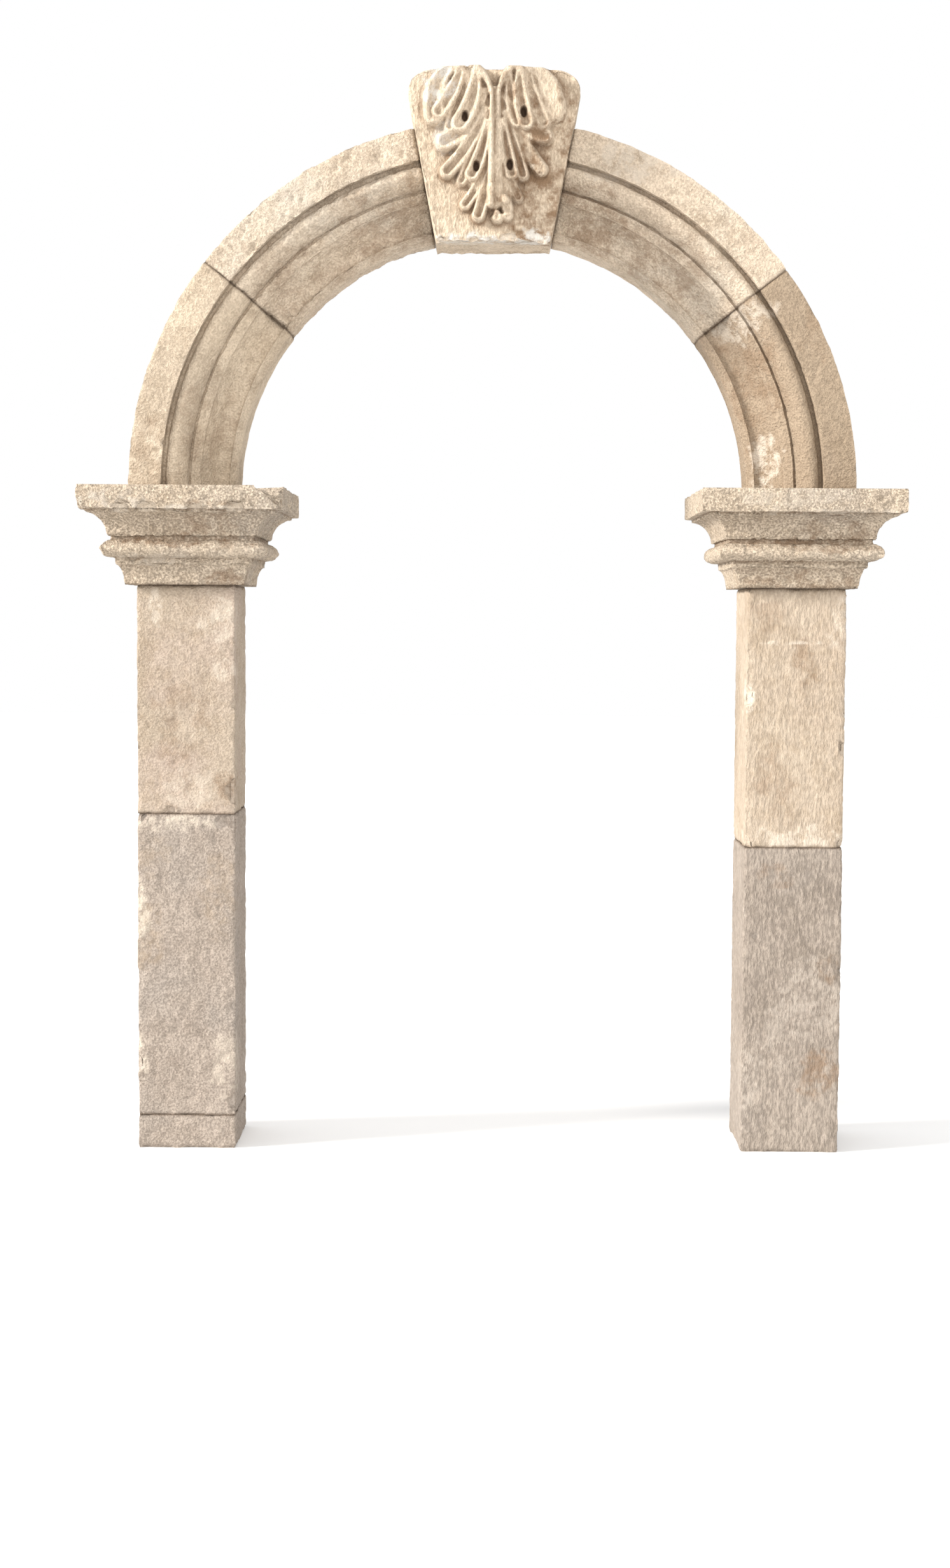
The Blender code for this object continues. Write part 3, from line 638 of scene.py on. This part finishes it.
def stone_material(name, light, middle, dark, stain_and_shade_tint, grey, tooling=(1.0, 1.0, 1.0),
                   grain_shade_and_glint=0.34, relief=0.008, stained=0.5, chalk_and_highlight_tint=(0.55, 0.475, 0.39)):
    """Limestone: broad clouds, mottling, specks, fine grain with painted shade in its pits and
    painted glints on its raised grains, hollows tinted with stain and painted shade, patches of
    stain and painted shade, pale patches of chalk and painted highlight, pale worn edges, chips
    and painted shade in drilled eyes.
    """
    material = bpy.data.materials.new(name)
    material.use_nodes = True
    nodes = material.node_tree.nodes
    link = material.node_tree.links.new
    shader = nodes["Principled BSDF"]
    shader.inputs["Roughness"].default_value = 0.88
    shader.inputs["Specular IOR Level"].default_value = 0.25
    place = nodes.new("ShaderNodeTexCoord").outputs["Object"]
    # Tints of the fine crust: the stone's grain, with painted shade in the pits and painted glints
    # on the raised grains.
    grain_and_pit_shade = tuple(part * 0.60 for part in middle)
    grain_and_glint = tuple(min(part * 1.24, 0.8) for part in light)

    def cloud(scale, detail, stretch=(1.0, 1.0, 1.0), rough=0.6):
        mapping = nodes.new("ShaderNodeMapping")
        mapping.inputs["Scale"].default_value = stretch
        link(place, mapping.inputs["Vector"])
        texture = nodes.new("ShaderNodeTexNoise")
        texture.inputs["Scale"].default_value = scale
        texture.inputs["Detail"].default_value = detail
        texture.inputs["Roughness"].default_value = rough
        link(mapping.outputs["Vector"], texture.inputs["Vector"])
        return texture.outputs["Fac"]

    def ramp(value, low, high):
        node = nodes.new("ShaderNodeMapRange")
        node.inputs["From Min"].default_value = low
        node.inputs["From Max"].default_value = high
        link(value, node.inputs["Value"])
        return node.outputs["Result"]

    def multiply(first, second):
        node = nodes.new("ShaderNodeMath")
        node.operation = "MULTIPLY"
        for socket, value in zip(node.inputs, (first, second)):
            if isinstance(value, float):
                socket.default_value = value
            else:
                link(value, socket)
        return node.outputs["Value"]

    def blend(amount, first, second):
        node = nodes.new("ShaderNodeMix")
        node.data_type = "RGBA"
        link(amount, node.inputs["Factor"])
        for socket, value in ((node.inputs[6], first), (node.inputs[7], second)):
            if isinstance(value, tuple):
                socket.default_value = (*value, 1.0)
            else:
                link(value, socket)
        return node.outputs[2]

    def mark(label):
        node = nodes.new("ShaderNodeAttribute")
        node.attribute_name = label
        return node.outputs["Fac"]

    colour = blend(ramp(cloud(3.2, 4.0), 0.38, 0.62), middle, light)
    colour = blend(multiply(ramp(cloud(9.0, 5.0, rough=0.7), 0.50, 0.66), 0.7), colour, dark)
    colour = blend(multiply(ramp(cloud(2.3, 3.0), 0.54, 0.66), 0.75), colour, grey)
    colour = blend(multiply(ramp(cloud(24.0, 5.0, rough=0.7), 0.50, 0.62), 0.4), colour, dark)
    # The crust noise also drives the bump: its low pits are painted darker as shade and its raised
    # grains paler as glints.
    crust = cloud(165.0, 3.0, tooling, 0.6)
    colour = blend(multiply(ramp(crust, 0.52, 0.40), grain_shade_and_glint), colour, grain_and_pit_shade)
    colour = blend(multiply(ramp(crust, 0.52, 0.62), grain_shade_and_glint), colour, grain_and_glint)
    # Hollows and the keystone's grooves take the stain tint: partly stain, partly painted shade in
    # the recesses.
    hollow = multiply(mark("hollow"), ramp(cloud(7.0, 4.0), 0.34, 0.62))
    colour = blend(multiply(hollow, stained), colour, stain_and_shade_tint)
    # Darker patches: stains on most stones, painted shade on the keystone's right side.
    stain_and_shade_patch = multiply(mark("stain_and_shade_patch"), ramp(cloud(20.0, 5.0, rough=0.7), 0.40, 0.58))
    colour = blend(stain_and_shade_patch, colour, stain_and_shade_tint)
    # Pale patches: chalky stone on most stones, painted highlight at the keystone's lit top left.
    chalk_and_highlight_patch = multiply(mark("chalk_and_highlight_patch"), ramp(cloud(30.0, 5.0, rough=0.7), 0.42, 0.56))
    colour = blend(chalk_and_highlight_patch, colour, chalk_and_highlight_tint)
    pale = tuple(part * 1.1 + 0.02 for part in light)
    worn = multiply(ramp(cloud(24.0, 5.0), 0.4, 0.66), 0.7)
    colour = blend(multiply(mark("edge"), worn), colour, pale)
    white = tuple(part * 1.12 + 0.07 for part in light)
    broken = multiply(mark("fresh"), ramp(cloud(45.0, 4.0), 0.35, 0.60))
    colour = blend(multiply(broken, 0.7), colour, white)
    colour = blend(multiply(mark("seam"), 0.75), colour, (0.10, 0.065, 0.04))
    # Drilled eyes are painted near-black: painted shade in the deep holes.
    colour = blend(mark("painted_eye_shade"), colour, (0.07, 0.042, 0.025))
    link(colour, shader.inputs["Base Color"])

    height = nodes.new("ShaderNodeMath")
    height.operation = "ADD"
    link(crust, height.inputs[0])
    link(multiply(cloud(45.0, 4.0, tooling, 0.6), 1.2), height.inputs[1])
    bump = nodes.new("ShaderNodeBump")
    bump.inputs["Strength"].default_value = 1.0
    bump.inputs["Distance"].default_value = relief
    link(height.outputs["Value"], bump.inputs["Height"])
    link(bump.outputs["Normal"], shader.inputs["Normal"])
    return material


TAN = (0.30, 0.23, 0.16)
OCHRE = (0.20, 0.125, 0.072)
GREY = (0.37, 0.32, 0.27)
BEIGE = (0.42, 0.34, 0.255)


Patch = namedtuple("Patch", "x z half_width half_height strength")


def patches(grid, spots, depth, seed):
    """How far each point lies inside the ragged patches, 0 to 1, to a depth behind the front."""
    share = np.zeros(grid.shape[:2])
    wave = 0.5 * noise(grid, 0.045, seed) + 0.35 * noise(grid, 0.016, seed + 1)
    for spot in spots:
        reach = np.hypot((grid[..., 0] - spot.x) / spot.half_width,
                         (grid[..., 2] - spot.z) / spot.half_height) + wave
        share = np.maximum(share, spot.strength * (1 - smooth_step(0.7, 1.1, reach)))
    return share * (1 - smooth_step(depth, depth + PATCH_FADE, grid[..., 1] - FRONT_Y))


def finish_stone(node, grid, finish, material, chips=(), chip_count=20, chip_size=0.006, seed=1,
                 guard=1.0, painted_eye_shade=None, groove_stain_and_shade=0.0, normals=None, stain_and_shade_patches=(), chalk_and_highlight_patches=(),
                 cap_depth=CAP_DEPTH, cap_rings=CAP_RINGS, joints=(1.0, 1.0),
                 patch_depth=PATCH_DEPTH):
    """Wears, stains and closes a stone, with its patches of stain and painted shade and its pale
    patches of chalk and painted highlight; joints are the dirt at its first and last row.
    """
    grid, marks = weather(grid, finish, chips, chip_count, chip_size, seed, guard, normals)
    first_half = np.arange(len(grid))[:, None] < len(grid) / 2
    marks["seam"] = marks["seam"] * np.where(first_half, joints[0], joints[1])
    # The drilled eyes take near-black painted shade.
    marks["painted_eye_shade"] = np.zeros(grid.shape[:2]) if painted_eye_shade is None else painted_eye_shade
    # Grooves join the hollows, which take stain and painted shade.
    marks["hollow"] = np.maximum(marks["hollow"], groove_stain_and_shade)
    if cap_rings:
        grid, marks = close_ends(grid, marks, cap_depth, cap_rings, seed + 20)
    # Patches of stain and painted shade, then pale patches of chalk and painted highlight.
    marks["stain_and_shade_patch"] = patches(grid, stain_and_shade_patches, patch_depth, seed + 11)
    marks["chalk_and_highlight_patch"] = patches(grid, chalk_and_highlight_patches, patch_depth, seed + 14)
    return place_stone(node, grid, marks, material)


ROUGH = Finish(pits=0.0036, pit_size=0.014, tooling=0.0016, tool_size=0.02, lumps=0.0050,
               wear=0.0095)
TOOLED = Finish(pits=0.0018, pit_size=0.010, tooling=0.0018, tool_size=(0.010, 0.010, 0.04),
                lumps=0.0036, wear=0.0075)
PITTED = Finish(pits=0.0060, pit_size=0.012, tooling=0.0014, tool_size=0.018, lumps=0.0030,
                wear=0.0090)
MOULDED = Finish(pits=0.0020, pit_size=0.012, tooling=0.0010, tool_size=0.02, lumps=0.0016,
                 wear=0.0030)
UPRIGHT = (1.0, 1.0, 0.34)


def make_piers():
    reveal = CLEAR_WIDTH / 2
    warm = stone_material("limestone_warm", (0.44, 0.363, 0.287), (0.37, 0.30, 0.228), TAN,
                          OCHRE, (0.42, 0.335, 0.28))
    grey = stone_material("limestone_greyed", (0.37, 0.31, 0.26), (0.305, 0.253, 0.207),
                          (0.24, 0.195, 0.157), TAN, (0.33, 0.288, 0.25), grain_shade_and_glint=0.5)
    tooled = stone_material("limestone_tooled", (0.43, 0.355, 0.275), (0.375, 0.30, 0.228), TAN,
                            OCHRE, (0.36, 0.29, 0.222), UPRIGHT, grain_shade_and_glint=0.32)
    tan = stone_material("limestone_tan", (0.31, 0.262, 0.218), (0.255, 0.212, 0.175),
                         (0.19, 0.156, 0.124), OCHRE, (0.28, 0.24, 0.204), UPRIGHT, grain_shade_and_glint=0.45,
                         chalk_and_highlight_tint=(0.42, 0.365, 0.31))
    finish_stone("pier_left_base_stone", block_grid(-1, 0.0, BASE_HEIGHT), ROUGH, grey, seed=11,
                 joints=(0.0, 1.0))
    finish_stone("pier_left_lower_block",
                 block_grid(-1, BASE_HEIGHT + JOINT_GAP, LEFT_JOINT_HEIGHT), ROUGH, grey,
                 chips=[Chip(-reveal - 0.02, FRONT_Y - 0.02, 0.93, 0.040, 0.012),
                        Chip(-0.985, FRONT_Y - 0.02, 0.935, 0.036, 0.008),
                        Chip(-reveal + 0.008, FRONT_Y - 0.010, 0.40, 0.030, 0.010),
                        Chip(-0.99, FRONT_Y - 0.012, 0.24, 0.028, 0.010),
                        Chip(-reveal + 0.010, FRONT_Y - 0.012, 0.13, 0.034, 0.012)],
                 chip_count=70, chip_size=0.011, seed=12,
                 stain_and_shade_patches=[Patch(-0.97, 0.60, 0.05, 0.10, 0.5), Patch(-0.76, 0.72, 0.05, 0.14, 0.4),
                         Patch(-0.94, 0.83, 0.06, 0.05, 0.4)],
                 chalk_and_highlight_patches=[Patch(-0.985, 0.66, 0.03, 0.10, 0.8), Patch(-0.86, 0.92, 0.13, 0.022, 0.8),
                        Patch(-0.73, 0.24, 0.05, 0.10, 0.5), Patch(-0.985, 0.25, 0.03, 0.06, 0.9)])
    finish_stone("pier_left_upper_block",
                 block_grid(-1, LEFT_JOINT_HEIGHT + JOINT_GAP, PIER_HEIGHT), ROUGH, warm,
                 chips=[Chip(-0.905, FRONT_Y - 0.016, 0.945, 0.030, 0.012),
                        Chip(-0.865, FRONT_Y - 0.018, 0.943, 0.028, 0.012),
                        Chip(-reveal + 0.012, FRONT_Y - 0.014, 1.02, 0.042, 0.012),
                        Chip(-reveal + 0.010, FRONT_Y - 0.010, 1.41, 0.030, 0.010),
                        Chip(-reveal + 0.008, FRONT_Y - 0.008, 1.26, 0.022, 0.009)],
                 chip_count=60, chip_size=0.010, seed=13,
                 stain_and_shade_patches=[Patch(-0.86, 1.24, 0.10, 0.07, 0.3), Patch(-0.74, 1.03, 0.04, 0.05, 0.5),
                         Patch(-0.88, 1.12, 0.05, 0.05, 0.3)],
                 chalk_and_highlight_patches=[Patch(-0.76, 1.50, 0.05, 0.07, 0.7), Patch(-0.93, 1.52, 0.02, 0.05, 0.7),
                        Patch(-0.74, 1.34, 0.03, 0.04, 0.7), Patch(-0.83, 1.02, 0.08, 0.05, 0.4)])
    finish_stone("pier_right_lower_block", block_grid(1, 0.0, RIGHT_JOINT_HEIGHT), TOOLED, tan,
                 chips=[Chip(0.745, FRONT_Y - 0.002, 0.614, 0.010, 0.012),
                        Chip(0.737, FRONT_Y - 0.002, 0.594, 0.008, 0.010)],
                 chip_count=60, chip_size=0.011, seed=14, joints=(0.0, 1.0),
                 stain_and_shade_patches=[Patch(0.93, 0.22, 0.05, 0.08, 0.6), Patch(0.80, 0.78, 0.06, 0.04, 0.4),
                         Patch(0.95, 0.52, 0.04, 0.04, 0.5)],
                 chalk_and_highlight_patches=[Patch(0.90, 0.44, 0.10, 0.10, 0.5), Patch(0.80, 0.30, 0.05, 0.10, 0.4),
                        Patch(0.73, 0.18, 0.03, 0.10, 0.6)])
    finish_stone("pier_right_upper_block",
                 block_grid(1, RIGHT_JOINT_HEIGHT + JOINT_GAP, PIER_HEIGHT), TOOLED, tooled,
                 chips=[Chip(reveal - 0.004, FRONT_Y - 0.008, 1.285, 0.028, 0.014),
                        Chip(reveal - 0.012, FRONT_Y - 0.012, 0.872, 0.036, 0.014),
                        Chip(0.995, FRONT_Y - 0.008, 0.868, 0.030, 0.014),
                        Chip(0.996, FRONT_Y - 0.010, 1.14, 0.026, 0.009)],
                 chip_count=60, chip_size=0.011, seed=15,
                 stain_and_shade_patches=[Patch(0.88, 1.37, 0.05, 0.06, 0.5), Patch(0.80, 1.05, 0.05, 0.12, 0.35),
                         Patch(0.78, 1.50, 0.05, 0.05, 0.3)],
                 chalk_and_highlight_patches=[Patch(0.715, 1.285, 0.022, 0.045, 1.0),
                        Patch(0.83, 1.435, 0.07, 0.006, 0.8),
                        Patch(0.84, 0.89, 0.13, 0.03, 0.7), Patch(0.97, 1.50, 0.03, 0.08, 0.5)])


def make_capitals():
    stained = stone_material("limestone_pitted", (0.56, 0.465, 0.36), (0.48, 0.39, 0.295),
                             (0.36, 0.275, 0.19), OCHRE, GREY, grain_shade_and_glint=0.85, relief=0.013,
                             stained=0.75)
    inner_corner = -PIER_X + PIER_WIDTH / 2 + FASCIA_PROJECTION
    outer_corner = -PIER_X - PIER_WIDTH / 2 - FASCIA_PROJECTION
    face = FRONT_Y - FASCIA_PROJECTION
    under = SPRING_Z - FASCIA_HEIGHT
    lowest = under - 0.001
    left = break_corner(capital_grid(-1), (inner_corner, face, SPRING_Z), (0.8, -0.8, 1.0), 0.042,
                        lowest, 51)
    left = break_corner(left, (outer_corner, face, under), (-0.8, -0.8, -1.0), 0.018, lowest, 53)
    broken = [Chip(-1.00, face - 0.010, SPRING_Z - 0.070, 0.028, 0.012),
              Chip(-0.94, face - 0.008, SPRING_Z - 0.070, 0.034, 0.016),
              Chip(-0.80, face - 0.006, SPRING_Z - 0.070, 0.030, 0.016),
              Chip(-0.70, face - 0.006, SPRING_Z - 0.068, 0.036, 0.016)]
    finish_stone("capital_left", left, PITTED, stained, chips=broken, chip_count=80,
                 chip_size=0.009, seed=21, joints=(1.0, 0.0),
                 stain_and_shade_patches=[Patch(-0.82, SPRING_Z - 0.15, 0.20, 0.022, 0.9),
                         Patch(-0.78, SPRING_Z - 0.10, 0.10, 0.05, 0.5),
                         Patch(-0.76, SPRING_Z - 0.26, 0.08, 0.03, 0.6)],
                 chalk_and_highlight_patches=[Patch(-1.03, SPRING_Z - 0.04, 0.09, 0.03, 0.9),
                        Patch(-0.78, SPRING_Z - 0.063, 0.18, 0.008, 1.0),
                        Patch(-0.95, SPRING_Z - 0.20, 0.10, 0.018, 0.6)])
    finish_stone("capital_right", capital_grid(1), PITTED, stained, chip_count=60,
                 chip_size=0.009, seed=22, joints=(1.0, 0.0),
                 stain_and_shade_patches=[Patch(0.90, SPRING_Z - 0.15, 0.16, 0.022, 0.8),
                         Patch(0.95, SPRING_Z - 0.11, 0.12, 0.04, 0.5),
                         Patch(0.84, SPRING_Z - 0.25, 0.14, 0.03, 0.5)],
                 chalk_and_highlight_patches=[Patch(0.80, SPRING_Z - 0.03, 0.14, 0.03, 0.5),
                        Patch(0.95, SPRING_Z - 0.063, 0.14, 0.006, 0.8)])


def make_arch():
    pale = stone_material("limestone_pale", (0.59, 0.49, 0.375), (0.52, 0.42, 0.31), TAN, OCHRE,
                          BEIGE, stained=0.35)
    smooth = stone_material("limestone_moulded", (0.34, 0.263, 0.187), (0.285, 0.215, 0.148), TAN,
                            OCHRE, (0.34, 0.265, 0.195), stained=0.4)
    rough = stone_material("limestone_dressed", (0.59, 0.495, 0.385), (0.52, 0.42, 0.32), TAN,
                           OCHRE, (0.52, 0.46, 0.38), grain_shade_and_glint=0.45, stained=0.4)
    finish_stone("voussoir_left_lower", voussoir_grid(-1, 0.0, LEFT_JOINT_ANGLE), MOULDED, pale,
                 cap_rings=0, patch_depth=ARCH_PATCH_DEPTH, chip_count=34,
                 chip_size=0.007, seed=31,
                 stain_and_shade_patches=[Patch(-0.96, 1.93, 0.10, 0.10, 0.35),
                         Patch(-0.80, 2.05, 0.08, 0.12, 0.3)])
    finish_stone("voussoir_left_upper", voussoir_grid(-1, LEFT_JOINT_ANGLE, None), PITTED, rough,
                 cap_rings=0, patch_depth=ARCH_PATCH_DEPTH, chip_count=34,
                 chip_size=0.007, seed=32,
                 stain_and_shade_patches=[Patch(-0.28, 2.60, 0.12, 0.10, 0.45),
                         Patch(-0.55, 2.45, 0.15, 0.10, 0.3)],
                 chalk_and_highlight_patches=[Patch(-0.60, 2.66, 0.12, 0.05, 0.6)])
    finish_stone("voussoir_right_lower", voussoir_grid(1, 0.0, RIGHT_JOINT_ANGLE), MOULDED, smooth,
                 cap_rings=0, patch_depth=ARCH_PATCH_DEPTH, chip_count=30,
                 chip_size=0.007, seed=33,
                 stain_and_shade_patches=[Patch(0.72, 2.15, 0.08, 0.14, 0.5), Patch(0.90, 2.30, 0.06, 0.10, 0.3)],
                 chalk_and_highlight_patches=[Patch(0.77, 1.93, 0.05, 0.10, 1.0), Patch(0.70, 2.33, 0.08, 0.06, 0.7)])
    finish_stone("voussoir_right_upper", voussoir_grid(1, RIGHT_JOINT_ANGLE, None), MOULDED, rough,
                 cap_rings=0, patch_depth=ARCH_PATCH_DEPTH, chip_count=30,
                 chip_size=0.007, seed=34,
                 stain_and_shade_patches=[Patch(0.27, 2.60, 0.10, 0.12, 0.6), Patch(0.50, 2.47, 0.14, 0.10, 0.45)],
                 chalk_and_highlight_patches=[Patch(0.45, 2.75, 0.20, 0.06, 0.6)])


def make_keystone():
    grid, normals, guard, drilled, groove_stain_and_shade = keystone_grid()
    material = stone_material("limestone_carved", (0.60, 0.50, 0.385), (0.52, 0.415, 0.305), TAN,
                              OCHRE, BEIGE, (1.0, 1.0, 0.5), grain_shade_and_glint=0.4, stained=0.85,
                              chalk_and_highlight_tint=(0.58, 0.54, 0.485))
    draw = np.random.default_rng(40)
    foot_break = [Chip(x, KEY_FRONT_Y - draw.uniform(0.000, 0.012),
                       KEY_FOOT_Z + draw.uniform(-0.010, 0.006), draw.uniform(0.012, 0.026), 0.009)
                  for x in draw.uniform(-0.15, 0.15, 18)]
    finish_stone("keystone", grid, TOOLED, material, chips=foot_break, chip_count=40,
                 chip_size=0.007, seed=41, guard=guard, painted_eye_shade=drilled, groove_stain_and_shade=groove_stain_and_shade,
                 normals=normals, cap_depth=FOOT_CAP_DEPTH, cap_rings=FOOT_CAP_RINGS,
                 joints=(0.0, 0.0),
                 # The broad patch right of centre is painted shade on the keystone's right side,
                 # with some stain.
                 stain_and_shade_patches=[Patch(0.14, 2.68, 0.12, 0.26, 0.95), Patch(0.02, 2.95, 0.05, 0.04, 0.6)],
                 # The two pale patches high on the left are painted highlight on the keystone's
                 # lit top left.
                 chalk_and_highlight_patches=[Patch(0.0, KEY_FOOT_Z + 0.004, 0.17, 0.030, 1.0),
                        Patch(0.105, KEY_FOOT_Z + 0.022, 0.045, 0.022, 1.0),
                        Patch(-0.15, 2.93, 0.05, 0.05, 0.9), Patch(-0.135, 2.80, 0.03, 0.05, 0.6)])


# Floor, light and camera

def make_floor():
    mesh = bpy.data.meshes.new("floor")
    body = bmesh.new()
    bmesh.ops.create_grid(body, x_segments=1, y_segments=1, size=30.0)
    body.to_mesh(mesh)
    body.free()
    floor = bpy.data.objects.new("floor", mesh)
    bpy.context.scene.collection.objects.link(floor)
    material = bpy.data.materials.new("floor_paint")
    material.use_nodes = True
    shader = material.node_tree.nodes["Principled BSDF"]
    shader.inputs["Base Color"].default_value = (0.86, 0.86, 0.86, 1.0)
    shader.inputs["Roughness"].default_value = 0.9
    mesh.materials.append(material)


def add_sun(name, direction, strength, spread):
    light = bpy.data.lights.new(name, "SUN")
    light.energy = strength
    light.angle = math.radians(spread)
    light.color = (1.0, 0.97, 0.93)
    lamp = bpy.data.objects.new(name, light)
    lamp.rotation_euler = Vector(direction).to_track_quat("-Z", "Y").to_euler()
    bpy.context.scene.collection.objects.link(lamp)


def make_light():
    bpy.context.scene.view_settings.view_transform = "Standard"
    world = bpy.data.worlds.new("studio")
    world.use_nodes = True
    background = world.node_tree.nodes["Background"]
    background.inputs["Color"].default_value = (1.0, 1.0, 1.0, 1.0)
    background.inputs["Strength"].default_value = 1.0
    bpy.context.scene.world = world
    add_sun("side_light", (0.92, 0.26, -0.36), 6.0, 12)
    add_sun("front_light", (-0.20, 0.92, -0.35), 1.7, 50)


CAMERA_PLACE = (-0.009, -6.667, 1.492)
CAMERA_PITCH = 4.0          # degrees downwards
CAMERA_YAW = 0.29           # degrees to the left
CAMERA_ROLL = 0.342
CAMERA_LENS = 53.7


def make_camera():
    data = bpy.data.cameras.new("photo_view")
    data.lens = CAMERA_LENS
    data.sensor_width = 36.0
    data.sensor_fit = "AUTO"
    camera = bpy.data.objects.new("photo_view", data)
    camera.location = CAMERA_PLACE
    turn = Matrix.Rotation(math.radians(CAMERA_YAW), 3, "Z")
    turn = turn @ Matrix.Rotation(math.radians(90 - CAMERA_PITCH), 3, "X")
    turn = turn @ Matrix.Rotation(math.radians(CAMERA_ROLL), 3, "Z")
    camera.rotation_euler = turn.to_euler()
    bpy.context.scene.collection.objects.link(camera)
    bpy.context.scene.camera = camera


make_piers()
make_capitals()
make_arch()
make_keystone()
make_floor()
make_light()
make_camera()
